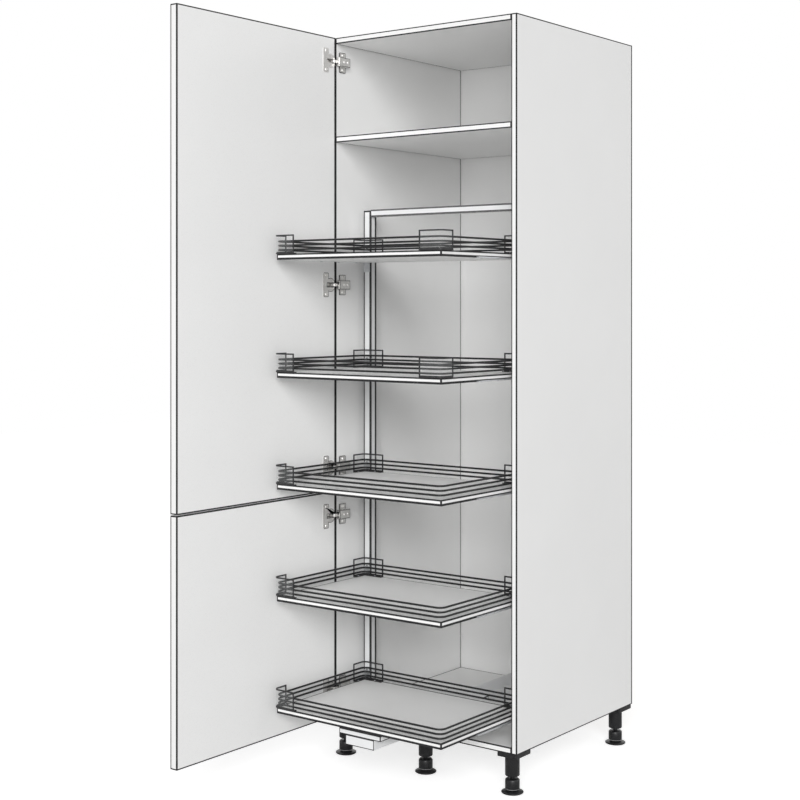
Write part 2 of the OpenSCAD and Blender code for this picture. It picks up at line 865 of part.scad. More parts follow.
module tray_1() { color("white") placed() tray(1); }
module tray_2() { color("white") placed() tray(2); }
module tray_3() { color("white") placed() tray(3); }
module tray_4() { color("white") placed() tray(4); }
module tray_5() { color("white") placed() tray(5); }
module railing_1() { color("#303030") placed() railing(1); }
module railing_2() { color("#303030") placed() railing(2); }
module railing_3() { color("#303030") placed() railing(3); }
module railing_4() { color("#303030") placed() railing(4); }
module railing_5() { color("#303030") placed() railing(5); }
module corner_plates_1() { color("lightgray") placed() corner_plates(1); }
module corner_plates_2() { color("lightgray") placed() corner_plates(2); }
module corner_plates_3() { color("lightgray") placed() corner_plates(3); }
module corner_plates_4() { color("lightgray") placed() corner_plates(4); }
module corner_plates_5() { color("lightgray") placed() corner_plates(5); }
module tray_carriers_1() { color("silver") placed() tray_carriers(1); }
module tray_carriers_2() { color("silver") placed() tray_carriers(2); }
module tray_carriers_3() { color("silver") placed() tray_carriers(3); }
module tray_carriers_4() { color("silver") placed() tray_carriers(4); }
module tray_carriers_5() { color("silver") placed() tray_carriers(5); }

left_side();
right_side();
top_panel();
bottom_panel();
fixed_shelf();
back_panel();
carcase_dowels();
wall_brackets();
leg_sockets();
leg_barrels();
leg_feet();
hinge_plates();
hinge_arms();
runner_rail();
upper_door();
upper_hinge_cups();
upper_hinge_pins();
lower_door();
lower_hinge_cups();
lower_hinge_pins();
left_post();
right_post();
frame_top_rail();
frame_bottom_rail();
post_caps();
frame_gussets();
carriage_plate();
runner_channel();
runner_end_cap();
ball_cages();
bearing_balls();
tray_1();
tray_2();
tray_3();
tray_4();
tray_5();
railing_1();
railing_2();
railing_3();
railing_4();
railing_5();
corner_plates_1();
corner_plates_2();
corner_plates_3();
corner_plates_4();
corner_plates_5();
tray_carriers_1();
tray_carriers_2();
tray_carriers_3();
tray_carriers_4();
tray_carriers_5();
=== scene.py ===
import math

import bmesh
import bpy
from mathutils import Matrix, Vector


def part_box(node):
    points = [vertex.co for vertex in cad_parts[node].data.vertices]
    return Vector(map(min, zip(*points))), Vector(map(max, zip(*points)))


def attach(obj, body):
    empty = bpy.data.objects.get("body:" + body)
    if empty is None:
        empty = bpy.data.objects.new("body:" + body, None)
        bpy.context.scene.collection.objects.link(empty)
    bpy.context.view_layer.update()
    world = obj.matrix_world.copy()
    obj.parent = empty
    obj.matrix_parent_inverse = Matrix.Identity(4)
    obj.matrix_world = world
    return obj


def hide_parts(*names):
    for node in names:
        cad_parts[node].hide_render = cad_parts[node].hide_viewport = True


# Dresses the pantry cabinet: finishes for its boards, wires and fittings, and the small
# fasteners and edges that the solids leave out. Metres, x to the cabinet's right, y to the wall.

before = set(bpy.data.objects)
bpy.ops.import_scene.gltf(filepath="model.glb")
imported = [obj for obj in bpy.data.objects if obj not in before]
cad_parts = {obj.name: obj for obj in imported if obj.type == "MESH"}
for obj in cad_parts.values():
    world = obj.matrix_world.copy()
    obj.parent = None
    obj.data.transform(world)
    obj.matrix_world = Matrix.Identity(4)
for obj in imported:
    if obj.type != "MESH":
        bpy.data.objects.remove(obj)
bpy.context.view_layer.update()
print("frame loaded:", len(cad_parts), "nodes")


# Finishes. Each is a small node tree that reads the piece's own coordinates.

mixSockets = {"share": 0, "first": 6, "second": 7, "result": 2}     # a Mix node set to colour


def startMaterial(name, look):
    material = bpy.data.materials.new(name)
    material.use_nodes = True
    nodes, links = material.node_tree.nodes, material.node_tree.links
    shader = nodes["Principled BSDF"]
    shader.inputs["Roughness"].default_value = look["roughness"]
    shader.inputs["Metallic"].default_value = look.get("metallic", 0.0)
    shader.inputs["Specular IOR Level"].default_value = look.get("specular", 0.5)
    where = nodes.new("ShaderNodeTexCoord").outputs["Object"]
    return material, nodes, links, shader, where


def noiseFrom(nodes, links, where, scale, detail, rough, stretch=None):
    if stretch:
        mapping = nodes.new("ShaderNodeMapping")
        mapping.inputs["Scale"].default_value = stretch
        links.new(where, mapping.inputs["Vector"])
        where = mapping.outputs["Vector"]
    node = nodes.new("ShaderNodeTexNoise")
    node.inputs["Scale"].default_value = scale
    node.inputs["Detail"].default_value = detail
    node.inputs["Roughness"].default_value = rough
    links.new(where, node.inputs["Vector"])
    return node.outputs["Fac"]


def ranged(nodes, links, value, low, high, fromLow=0.3, fromHigh=0.7):
    # Noise keeps to the middle of 0 to 1, so that is what gets spread
    node = nodes.new("ShaderNodeMapRange")
    node.inputs["From Min"].default_value = fromLow
    node.inputs["From Max"].default_value = fromHigh
    node.inputs["To Min"].default_value = low
    node.inputs["To Max"].default_value = high
    links.new(value, node.inputs["Value"])
    return node.outputs["Result"]


def coloured(nodes, links, shader, share, first, second):
    node = nodes.new("ShaderNodeMix")
    node.data_type = "RGBA"
    node.inputs[mixSockets["first"]].default_value = (*first, 1)
    node.inputs[mixSockets["second"]].default_value = (*second, 1)
    links.new(share, node.inputs[mixSockets["share"]])
    links.new(node.outputs[mixSockets["result"]], shader.inputs["Base Color"])


def roughened(nodes, links, shader, value, look, smoother, rougher):
    spread = ranged(nodes, links, value, look["roughness"] - smoother, look["roughness"] + rougher)
    links.new(spread, shader.inputs["Roughness"])


def embossed(nodes, links, shader, height, strength, distance):
    node = nodes.new("ShaderNodeBump")
    node.inputs["Strength"].default_value = strength
    node.inputs["Distance"].default_value = distance
    links.new(height, node.inputs["Height"])
    links.new(node.outputs["Normal"], shader.inputs["Normal"])


def surfaceFinish(name, look):
    # A plain surface with a faint mottle and a fine texture: board, coating or moulding
    material, nodes, links, shader, where = startMaterial(name, look)
    shader.inputs["Coat Weight"].default_value = look.get("coat", 0.0)
    shader.inputs["Coat Roughness"].default_value = 0.2
    mottle = noiseFrom(nodes, links, where, scale=look["mottleScale"], detail=3.0, rough=0.55)
    dull = tuple(c * (1 - look["mottle"]) for c in look["colour"])
    coloured(nodes, links, shader, ranged(nodes, links, mottle, 0.0, 1.0), dull, look["colour"])
    fine = noiseFrom(nodes, links, where, scale=look["grainScale"], detail=4.0, rough=0.6)
    roughened(nodes, links, shader, fine, look, smoother=0.06, rougher=0.06)
    embossed(nodes, links, shader, fine, strength=0.3, distance=look["relief"])
    return material


def platedSteel(name, look):
    # Metallic plating over drawn or pressed sheet, with faint lines along one direction
    material, nodes, links, shader, where = startMaterial(name, look)
    cloud = noiseFrom(nodes, links, where, scale=60.0, detail=3.0, rough=0.6)
    share = ranged(nodes, links, cloud, 0.0, 1.0)
    coloured(nodes, links, shader, share, look["dull"], look["colour"])
    lines = noiseFrom(nodes, links, where, scale=500.0, detail=3.0, rough=0.7,
                      stretch=look["stretch"])
    roughened(nodes, links, shader, lines, look, smoother=0.07, rougher=0.1)
    embossed(nodes, links, shader, lines, strength=0.2, distance=0.00003)
    return material


def clearPlastic(name, look):
    # Polished clear sheet: mostly open to what is behind it, with faint flow marks
    material, nodes, links, shader, where = startMaterial(name, look)
    flow = noiseFrom(nodes, links, where, scale=35.0, detail=3.0, rough=0.5,
                     stretch=(1.0, 1.0, 0.3))
    share = ranged(nodes, links, flow, 0.0, 1.0)
    coloured(nodes, links, shader, share, look["shade"], look["colour"])
    roughened(nodes, links, shader, flow, look, smoother=0.03, rougher=0.04)
    shader.inputs["IOR"].default_value = look["refraction"]
    shader.inputs["Alpha"].default_value = look["alpha"]
    return material


def fibreBoard(name, look):
    # Hardboard: pressed brown fibres with darker flecks
    material, nodes, links, shader, where = startMaterial(name, look)
    fibres = noiseFrom(nodes, links, where, scale=260.0, detail=5.0, rough=0.7,
                       stretch=(1.0, 1.0, 0.35))
    share = ranged(nodes, links, fibres, 0.0, 1.0, fromLow=0.25, fromHigh=0.75)
    coloured(nodes, links, shader, share, look["dark"], look["colour"])
    embossed(nodes, links, shader, fibres, strength=0.4, distance=0.0002)
    return material


def beechGrain(name, look):
    # Long pores and growth lines along the dowels' length, which is x
    material, nodes, links, shader, where = startMaterial(name, look)
    grain = noiseFrom(nodes, links, where, scale=700.0, detail=4.0, rough=0.65,
                      stretch=(0.06, 1.0, 1.0))
    share = ranged(nodes, links, grain, 0.0, 1.0)
    coloured(nodes, links, shader, share, look["dark"], look["colour"])
    embossed(nodes, links, shader, grain, strength=0.3, distance=0.0001)
    return material


finishes = {
    "melamine": surfaceFinish("whiteMelamine", {
        "colour": (0.9, 0.9, 0.895), "mottle": 0.02, "mottleScale": 4.0, "grainScale": 1100.0,
        "roughness": 0.42, "relief": 0.00004}),
    "lacquer": surfaceFinish("whiteLacquer", {
        "colour": (0.9, 0.9, 0.895), "mottle": 0.015, "mottleScale": 4.0, "grainScale": 600.0,
        "roughness": 0.3, "relief": 0.00002, "coat": 0.15}),
    "trayBoard": surfaceFinish("trayMelamine", {
        "colour": (0.89, 0.89, 0.885), "mottle": 0.02, "mottleScale": 4.0, "grainScale": 1400.0,
        "roughness": 0.4, "relief": 0.00005}),
    "glueLine": surfaceFinish("darkEdgeLine", {
        "colour": (0.02, 0.02, 0.021), "mottle": 0.12, "mottleScale": 40.0, "grainScale": 2000.0,
        "roughness": 0.6, "specular": 0.25, "relief": 0.00001}),
    "coating": surfaceFinish("palePowderCoat", {
        "colour": (0.82, 0.825, 0.83), "mottle": 0.03, "mottleScale": 12.0, "grainScale": 900.0,
        "roughness": 0.38, "relief": 0.00008}),
    "coatEdge": surfaceFinish("powderCoatEdge", {
        "colour": (0.03, 0.03, 0.031), "mottle": 0.15, "mottleScale": 60.0, "grainScale": 900.0,
        "roughness": 0.5, "specular": 0.3, "relief": 0.00003}),
    "clearSheet": clearPlastic("clearCornerPlastic", {
        "colour": (0.9, 0.92, 0.92), "shade": (0.82, 0.85, 0.86), "roughness": 0.08,
        "specular": 0.6, "refraction": 1.49, "alpha": 0.035}),
    "blackWire": surfaceFinish("blackWireCoat", {
        "colour": (0.012, 0.012, 0.013), "mottle": 0.25, "mottleScale": 80.0, "grainScale": 900.0,
        "roughness": 0.4, "specular": 0.35, "relief": 0.00006}),
    "blackPlastic": surfaceFinish("blackMouldedPlastic", {
        "colour": (0.013, 0.013, 0.014), "mottle": 0.2, "mottleScale": 60.0, "grainScale": 1500.0,
        "roughness": 0.3, "specular": 0.4, "relief": 0.00004}),
    # A pale grey edge finish: a painted highlight along the leg barrels' lowest bevels
    "paleHighlightEdge": surfaceFinish("paintedHighlightPlasticEdge", {
        "colour": (0.5, 0.5, 0.505), "mottle": 0.35, "mottleScale": 90.0, "grainScale": 1500.0,
        "roughness": 0.4, "relief": 0.00004}),
    "greyPlastic": surfaceFinish("paleGreyPlastic", {
        "colour": (0.62, 0.62, 0.625), "mottle": 0.04, "mottleScale": 50.0, "grainScale": 1500.0,
        "roughness": 0.45, "relief": 0.00005}),
    "cagePlastic": surfaceFinish("greyCagePlastic", {
        "colour": (0.3, 0.3, 0.31), "mottle": 0.06, "mottleScale": 80.0, "grainScale": 1500.0,
        "roughness": 0.5, "relief": 0.00005}),
    "nickel": platedSteel("nickelPlate", {
        "colour": (0.9, 0.89, 0.87), "dull": (0.82, 0.81, 0.79), "roughness": 0.42,
        "metallic": 0.72, "stretch": (1.0, 0.05, 1.0)}),
    "zinc": platedSteel("zincPlate", {
        "colour": (0.7, 0.71, 0.73), "dull": (0.58, 0.59, 0.61), "roughness": 0.34,
        "metallic": 1.0, "stretch": (1.0, 0.05, 1.0)}),
    "groundSteel": platedSteel("groundSteel", {
        "colour": (0.55, 0.55, 0.56), "dull": (0.42, 0.42, 0.43), "roughness": 0.2,
        "metallic": 1.0, "stretch": (1.0, 1.0, 0.1)}),
    "hardboard": fibreBoard("brownHardboard", {
        "colour": (0.4, 0.25, 0.13), "dark": (0.22, 0.125, 0.06), "roughness": 0.7,
        "specular": 0.3}),
    "beech": beechGrain("beechDowel", {
        "colour": (0.66, 0.47, 0.28), "dark": (0.42, 0.27, 0.14), "roughness": 0.6,
        "specular": 0.35}),
}
print("finishes made:", len(finishes))


# Pieces cut from the solids, with dark lines along their outlines and their arrises broken.
# Each has two materials: the first for its faces, the second for its lines and edges.

meshGap = 0.00001          # vertices nearer than this are one
cutGap = 0.1 * meshGap     # nearer than this to a cut, a vertex lies on it
skin = 0.0001              # how deep the outermost layer of a solid is taken to be
alongAxis = 0.5            # a face looks along an axis if its normal lies more than this along it
flatAngle = math.radians(0.4)      # faces that meet flatter than this become one
smoothAngle = math.radians(28)     # shading breaks at edges steeper than this
sharpAngle = math.radians(30)      # edges steeper than this get an arris
bentAngle = math.radians(35)       # a bend in steps flatter than this is one broad face
onFace, onLine = 0, 1
trays = range(1, 6)


def newObject(name, data):
    made = bpy.data.objects.new(name, data)
    bpy.context.scene.collection.objects.link(made)
    return made


def dropAttributes(mesh, names):
    for extra in [a.name for a in mesh.attributes if a.name in names]:
        mesh.attributes.remove(mesh.attributes[extra])


def mergedCopy(node):
    shape = bmesh.new()
    shape.from_mesh(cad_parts[node].data)
    bmesh.ops.remove_doubles(shape, verts=shape.verts, dist=meshGap)
    bmesh.ops.dissolve_limit(shape, angle_limit=flatAngle, verts=shape.verts, edges=shape.edges)
    return shape


def cornersOf(verts):
    return (Vector([min(v.co[i] for v in verts) for i in range(3)]),
            Vector([max(v.co[i] for v in verts) for i in range(3)]))


def grouped(items, nextTo):
    # Sorts items into groups that hang together, in the order in which they are met
    seen, groups = set(), []
    for start in items:
        if start in seen:
            continue
        seen.add(start)
        group = [start]
        for item in group:
            for other in nextTo(item):
                if other not in seen:
                    seen.add(other)
                    group.append(other)
        groups.append(group)
    return groups


def lumps(node):
    # Lowest and highest corner of each loose part of a node, and the middle of its top
    shape = mergedCopy(node)
    found = []
    for group in grouped(shape.verts, lambda vert: [v for e in vert.link_edges for v in e.verts]):
        low, high = cornersOf(group)
        crown = [v.co for v in group if v.co.z > high.z - skin]
        found.append((low, high, sum(crown, Vector()) / len(crown)))
    shape.free()
    return sorted(found, key=lambda part: (round(part[0].z, 4), round(part[0].x, 4), part[0].y))


def settle(elements, placeOf):
    # Puts vertices or faces in the order of their places, the same in each run
    placed = sorted(elements, key=lambda element: tuple(round(c, 6) for c in placeOf(element)))
    for i, element in enumerate(placed):
        element.index = i
    elements.sort()


def finishedPiece(shape, name, body, materials, node):
    mesh = bpy.data.meshes.new(name)
    for face in shape.faces:
        face.smooth = True
    settle(shape.verts, lambda vert: vert.co)
    settle(shape.faces, lambda face: face.calc_center_median())
    shape.to_mesh(mesh)
    shape.free()
    dropAttributes(mesh, ("custom_normal", "UVMap"))
    mesh.set_sharp_from_angle(angle=smoothAngle)
    for material in materials:
        mesh.materials.append(finishes[material])
    piece = newObject(name, mesh)
    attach(piece, body)
    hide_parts(node)


def broadFaces(shape, smallest, bend):
    # Groups of faces that run on smoothly and are large together
    def runsOn(face):
        return [other for edge in face.edges
                if len(edge.link_faces) == 2 and edge.calc_face_angle(0) < bend
                for other in edge.link_faces]

    return [group for group in grouped(shape.faces, runsOn)
            if sum(face.calc_area() for face in group) > smallest]


def rimmed(shape, look):
    # Draws a line inside the outline of each broad face. It is tried on a copy, which is kept if
    # no face has turned and the faces still cover what they did.
    limits = {"turn": 0.9, "area": 0.004}
    shape.faces.index_update()
    groups = [[face.index for face in group]
              for group in broadFaces(shape, look["broadFrom"], look["bend"])]
    for group in groups:
        trial = shape.copy()
        trial.faces.ensure_lookup_table()
        inner = [trial.faces[i] for i in group]
        facing = [face.normal.copy() for face in inner]
        area = sum(face.calc_area() for face in inner)
        rim = bmesh.ops.inset_region(trial, faces=inner, thickness=look["rim"],
                                     use_boundary=True, use_even_offset=True)["faces"]
        covered = sum(face.calc_area() for face in inner + rim)
        for face in inner:
            face.normal_update()
        turned = any(face.normal.dot(was) < limits["turn"] for face, was in zip(inner, facing))
        if turned or abs(covered / area - 1) > limits["area"]:
            trial.free()
            shape.faces.ensure_lookup_table()
            for i in group:
                shape.faces[i].material_index = onFace
            continue
        for face in inner:
            face.material_index = onFace
        for face in rim:
            face.material_index = onLine
        shape.free()
        shape = trial
    return shape


def ruled(shape, look):
    # Cuts a board along its outline, and along its seams with other boards, and paints the strips
    low, high = cornersOf(shape.verts)
    line = look["line"]
    starts = (line, line, look.get("lowLine", line))
    ends = (line, look.get("rearLine", line), line)
    strips = [(i, low[i], low[i] + starts[i]) for i in range(3)]
    strips += [(i, high[i] - ends[i], high[i]) for i in range(3)]
    strips += [(i, at - line, at) for i, at in look.get("seams", [])]
    bmesh.ops.triangulate(shape, faces=shape.faces)
    for i, near, far in strips:
        across = Vector([1.0 if i == k else 0.0 for k in range(3)])
        for at in (near, far):
            if low[i] + meshGap < at < high[i] - meshGap:
                parts = shape.verts[:] + shape.edges[:] + shape.faces[:]
                bmesh.ops.bisect_plane(shape, geom=parts, dist=cutGap,
                                       plane_co=across * at, plane_no=across)
    for face in shape.faces:
        at = face.calc_center_median()
        if any(near < at[i] < far and abs(face.normal[i]) < alongAxis for i, near, far in strips):
            face.material_index = onLine
    bmesh.ops.dissolve_limit(shape, angle_limit=flatAngle, verts=shape.verts, edges=shape.edges,
                             delimit={"MATERIAL"})


def edgedCopy(node, name, body, look):
    # A line along the outlines, then the sharp edges broken and painted. A look has the finish of
    # faces and of edges, and the arris. It may have line, a strip along a board's outline, or rim,
    # one inside each broad face, and what else wears the edge's finish: paintRound, the curved
    # faces, or paintRest, all but the broad ones.
    squareOn = 0.98        # a face whose normal lies this much along an axis isn't a round one
    shape = mergedCopy(node)
    for face in shape.faces:
        curved = look.get("paintRound", False) and max(abs(c) for c in face.normal) < squareOn
        face.material_index = onLine if curved or look.get("paintRest", False) else onFace
    if "rim" in look:
        shape = rimmed(shape, look)
    if "line" in look:
        ruled(shape, look)
    edges = [e for e in shape.edges
             if len(e.link_faces) == 2 and e.calc_face_angle(0) > sharpAngle
             and e.calc_length() >= look.get("shortest", 0.0)]
    bmesh.ops.bevel(shape, geom=edges, offset=look["arris"], offset_type="OFFSET", segments=1,
                    profile=0.5, affect="EDGES", clamp_overlap=True, material=onLine)
    bmesh.ops.dissolve_degenerate(shape, dist=cutGap, edges=shape.edges)
    for face in shape.faces:
        if face.calc_center_median().z > look.get("paintBelow", math.inf):
            face.material_index = onFace
    finishedPiece(shape, name, body, [look["face"], look["edge"]], node)


def dress(group):
    for node, (name, body) in group["pieces"].items():
        edgedCopy(node, name, body, group["look"])


carcaseBoards = {
    "look": {"face": "melamine", "edge": "glueLine", "arris": 0.0006, "shortest": 0.1,
             "line": 0.003, "seams": [(1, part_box("back_panel")[0].y)]},
    "slot": "carcase_board",
    "pieces": {"left_side": ("leftSideBoard", "carcase"),
               "right_side": ("rightSideBoard", "carcase"),
               "top_panel": ("topBoard", "carcase"),
               "bottom_panel": ("floorBoard", "carcase"),
               "fixed_shelf": ("fixedShelfBoard", "carcase")},
}
dress(carcaseBoards)

doorBoards = {
    "look": {"face": "lacquer", "edge": "glueLine", "arris": 0.0006, "shortest": 0.1,
             "line": 0.0032},
    "slot": "door_board",
    "pieces": {"upper_door": ("upperDoorBoard", "door_upper"),
               "lower_door": ("lowerDoorBoard", "door_lower")},
}
dress(doorBoards)

trayBoards = {
    "look": {"face": "trayBoard", "edge": "glueLine", "arris": 0.0005, "shortest": 0.1,
             "line": 0.0035, "lowLine": 0.0055},
    "slot": "tray_board",
    "pieces": {f"tray_{n}": (f"trayBoard{n}", "pull_out") for n in trays},
}
dress(trayBoards)
print("boards made")

# The hardboard back: its rear face stays a nail head's height inside, so that the heads end at
# the wall side of the cabinet.
backBoard = {"nailHead": 0.0003, "slot": "back_board", "inside": "melamine",
             "outside": "hardboard"}
shape = mergedCopy("back_panel")
rearLine = max(v.co.y for v in shape.verts)
for vert in shape.verts:
    if vert.co.y > rearLine - skin:
        vert.co.y -= backBoard["nailHead"]
shape.normal_update()
for face in shape.faces:
    face.material_index = 1 if face.normal.y > -alongAxis else 0
finishedPiece(shape, "backBoard", "carcase",
              [backBoard["inside"], backBoard["outside"]], "back_panel")

framePosts = {
    "look": {"face": "coating", "edge": "coatEdge", "arris": 0.0004, "paintRound": True,
             "line": 0.0045, "rearLine": 0.0085},
    "slot": "frame_coating",
    "pieces": {"left_post": ("leftPost", "pull_out"), "right_post": ("rightPost", "pull_out")},
}
dress(framePosts)

frameSteel = {
    "look": {"face": "coating", "edge": "coatEdge", "arris": 0.0004, "paintRound": True,
             "rim": 0.0022, "broadFrom": 0.0006, "bend": 2 * flatAngle},
    "slot": "frame_coating",
    "pieces": {"frame_top_rail": ("frameTopRail", "pull_out"),
               "frame_bottom_rail": ("frameBottomRail", "pull_out"),
               "carriage_plate": ("carriagePlate", "pull_out"),
               "runner_end_cap": ("runnerEndCap", "pull_out")},
}
dress(frameSteel)

runnerSteel = {
    "look": {"face": "coating", "edge": "coating", "arris": 0.0004},
    "slot": "frame_coating",
    "pieces": {"runner_rail": ("runnerRail", "carcase"),
               "runner_channel": ("runnerChannel", "pull_out")},
}
dress(runnerSteel)

# The corner plates are clear, with a dark rim round each broad face
cornerPlates = {
    "look": {"face": "clearSheet", "edge": "coatEdge", "arris": 0.0003, "rim": 0.0036,
             "broadFrom": 0.0006, "bend": bentAngle, "paintRest": True},
    "slot": "corner_clear",
    "pieces": {f"corner_plates_{n}": (f"cornerPlates{n}", "pull_out") for n in trays},
}
dress(cornerPlates)

zincParts = {
    "look": {"face": "zinc", "edge": "zinc", "arris": 0.0003},
    "slot": "zinc_steel",
    "pieces": {"wall_brackets": ("wallBrackets", "carcase"),
               "frame_gussets": ("frameGussets", "pull_out"),
               **{f"tray_carriers_{n}": (f"trayCarriers{n}", "pull_out") for n in trays}},
}
dress(zincParts)

nickelParts = {
    "look": {"face": "nickel", "edge": "coatEdge", "arris": 0.0002, "rim": 0.0013,
             "broadFrom": 0.00011, "bend": bentAngle, "paintRest": True},
    "slot": "nickel_steel",
    "pieces": {"hinge_plates": ("hingePlates", "carcase"),
               "hinge_arms": ("hingeArms", "carcase"),
               "upper_hinge_cups": ("upperHingeCups", "door_upper"),
               "lower_hinge_cups": ("lowerHingeCups", "door_lower")},
}
dress(nickelParts)

# Only the barrels' lowest edges are painted pale as a highlight, those below the height in
# paintBelow
legMouldings = {
    "look": {"face": "blackPlastic", "edge": "paleHighlightEdge", "arris": 0.0007, "paintBelow": 0.02},
    "slot": "leg_plastic",
    "pieces": {"leg_sockets": ("legSockets", "carcase"), "leg_barrels": ("legBarrels", "carcase")},
}
dress(legMouldings)

legFeet = {
    "look": {"face": "blackPlastic", "edge": "blackPlastic", "arris": 0.0007},
    "slot": "leg_plastic",
    "pieces": {"leg_feet": ("legFeet", "carcase")},
}
dress(legFeet)

postCaps = {
    "look": {"face": "greyPlastic", "edge": "greyPlastic", "arris": 0.0004},
    "slot": "cap_plastic",
    "pieces": {"post_caps": ("postCaps", "pull_out")},
}
dress(postCaps)
print("metal and plastic pieces made")

# The small solids whose shape is right keep their mesh and take a finish
keptNodes = {"carcase_dowels": "beech", "upper_hinge_pins": "groundSteel",
             "lower_hinge_pins": "groundSteel", "ball_cages": "cagePlastic",
             "bearing_balls": "groundSteel"}
for node, finish in keptNodes.items():
    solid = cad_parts[node]
    if not solid.material_slots:
        solid.data.materials.append(None)
    for materialSlot in solid.material_slots:
        materialSlot.material = finishes[finish]


# Railings: three closed wires for each tray

wires = {"radius": 0.0025, "sides": 14, "cornerRadius": 0.018, "cornerSteps": 12,
         "first": 0.0025, "step": 0.011, "count": 3, "slot": "railing_wire"}


def loopPath(low, high, height):
    # Points and headings of a level rectangle with round corners, at the wire's axis
    r = wires["cornerRadius"]
    corners = [(high.x - r, low.y + r, -90), (high.x - r, high.y - r, 0),
               (low.x + r, high.y - r, 90), (low.x + r, low.y + r, 180)]
    path = []
    for x, y, start in corners:
        for i in range(wires["cornerSteps"] + 1):
            turn = math.radians(start + 90 * i / wires["cornerSteps"])
            out = Vector((math.cos(turn), math.sin(turn), 0))
            path.append((Vector((x, y, height)) + out * r, out))
    return path


def sweepLoop(shape, path):
    rings = []
    for point, out in path:
        ring = []
        for i in range(wires["sides"]):
            turn = 2 * math.pi * i / wires["sides"]
            away = math.cos(turn) * out + math.sin(turn) * Vector((0, 0, 1))
            ring.append(shape.verts.new(point + wires["radius"] * away))
        rings.append(ring)
    for near, far in zip(rings, rings[1:] + rings[:1]):
        for i in range(wires["sides"]):
            j = (i + 1) % wires["sides"]
            shape.faces.new((near[i], far[i], far[j], near[j]))


for n in trays:
    low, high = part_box(f"railing_{n}")
    inset = Vector((wires["radius"], wires["radius"], 0))
    shape = bmesh.new()
    for k in range(wires["count"]):
        height = low.z + wires["first"] + k * wires["step"]
        sweepLoop(shape, loopPath(low + inset, high - inset, height))
    bmesh.ops.recalc_face_normals(shape, faces=shape.faces)
    finishedPiece(shape, f"railing{n}", "pull_out", ["blackWire"], f"railing_{n}")
print("railings made")


# Fasteners. Node trees put a head on each spot and turn it to the spot's aim.

def newTree(name, sizes, seed):
    tree = bpy.data.node_groups.new(name, "GeometryNodeTree")
    tree.interface.new_socket("Geometry", in_out="INPUT", socket_type="NodeSocketGeometry")
    for label in sizes:
        tree.interface.new_socket(label, in_out="INPUT", socket_type="NodeSocketFloat")
    turn = tree.interface.new_socket("Turn Seed", in_out="INPUT", socket_type="NodeSocketInt")
    turn.default_value = seed
    tree.interface.new_socket("Geometry", in_out="OUTPUT", socket_type="NodeSocketGeometry")
    given = tree.nodes.new("NodeGroupInput")
    return tree, tree.nodes, tree.links, given


def scaled(nodes, links, value, factor):
    node = nodes.new("ShaderNodeMath")
    node.operation = "MULTIPLY"
    node.inputs[1].default_value = factor
    links.new(value, node.inputs[0])
    return node.outputs[0]


def slotBlock(nodes, links, given, turned):
    # One bar of the cross recess, sunk into the top of the head
    size = nodes.new("ShaderNodeCombineXYZ")
    place = nodes.new("ShaderNodeCombineXYZ")
    block = nodes.new("GeometryNodeMeshCube")
    shift = nodes.new("GeometryNodeTransform")
    links.new(given.outputs["Slot Length"], size.inputs["Y" if turned else "X"])
    links.new(given.outputs["Slot Width"], size.inputs["X" if turned else "Y"])
    links.new(scaled(nodes, links, given.outputs["Slot Depth"], 2.0), size.inputs["Z"])
    links.new(size.outputs[0], block.inputs["Size"])
    links.new(given.outputs["Head Height"], place.inputs["Z"])
    links.new(block.outputs["Mesh"], shift.inputs["Geometry"])
    links.new(place.outputs[0], shift.inputs["Translation"])
    return shift.outputs["Geometry"]


def headsOnSpots(tree, nodes, links, given, head, material):
    randomFloat = {"min": 2, "max": 3, "value": 1}     # sockets of a Random Value node
    aim = nodes.new("GeometryNodeInputNamedAttribute")
    aim.data_type = "FLOAT_VECTOR"
    aim.inputs["Name"].default_value = "aim"
    align = nodes.new("FunctionNodeAlignRotationToVector")
    align.axis = "Z"
    links.new(aim.outputs["Attribute"], align.inputs["Vector"])
    turn = nodes.new("FunctionNodeRandomValue")
    turn.data_type = "FLOAT"
    turn.inputs[randomFloat["min"]].default_value = 0.0
    turn.inputs[randomFloat["max"]].default_value = math.pi / 2
    links.new(given.outputs["Turn Seed"], turn.inputs["Seed"])
    spin = nodes.new("ShaderNodeCombineXYZ")
    links.new(turn.outputs[randomFloat["value"]], spin.inputs["Z"])
    both = nodes.new("FunctionNodeRotateRotation")
    both.rotation_space = "LOCAL"
    links.new(align.outputs["Rotation"], both.inputs["Rotation"])
    links.new(spin.outputs[0], both.inputs["Rotate By"])
    put = nodes.new("GeometryNodeInstanceOnPoints")
    links.new(given.outputs["Geometry"], put.inputs["Points"])
    links.new(head, put.inputs["Instance"])
    links.new(both.outputs["Rotation"], put.inputs["Rotation"])
    real = nodes.new("GeometryNodeRealizeInstances")
    links.new(put.outputs["Instances"], real.inputs["Geometry"])
    paint = nodes.new("GeometryNodeSetMaterial")
    paint.inputs["Material"].default_value = material
    links.new(real.outputs["Geometry"], paint.inputs["Geometry"])
    out = nodes.new("NodeGroupOutput")
    links.new(paint.outputs["Geometry"], out.inputs["Geometry"])
    return tree


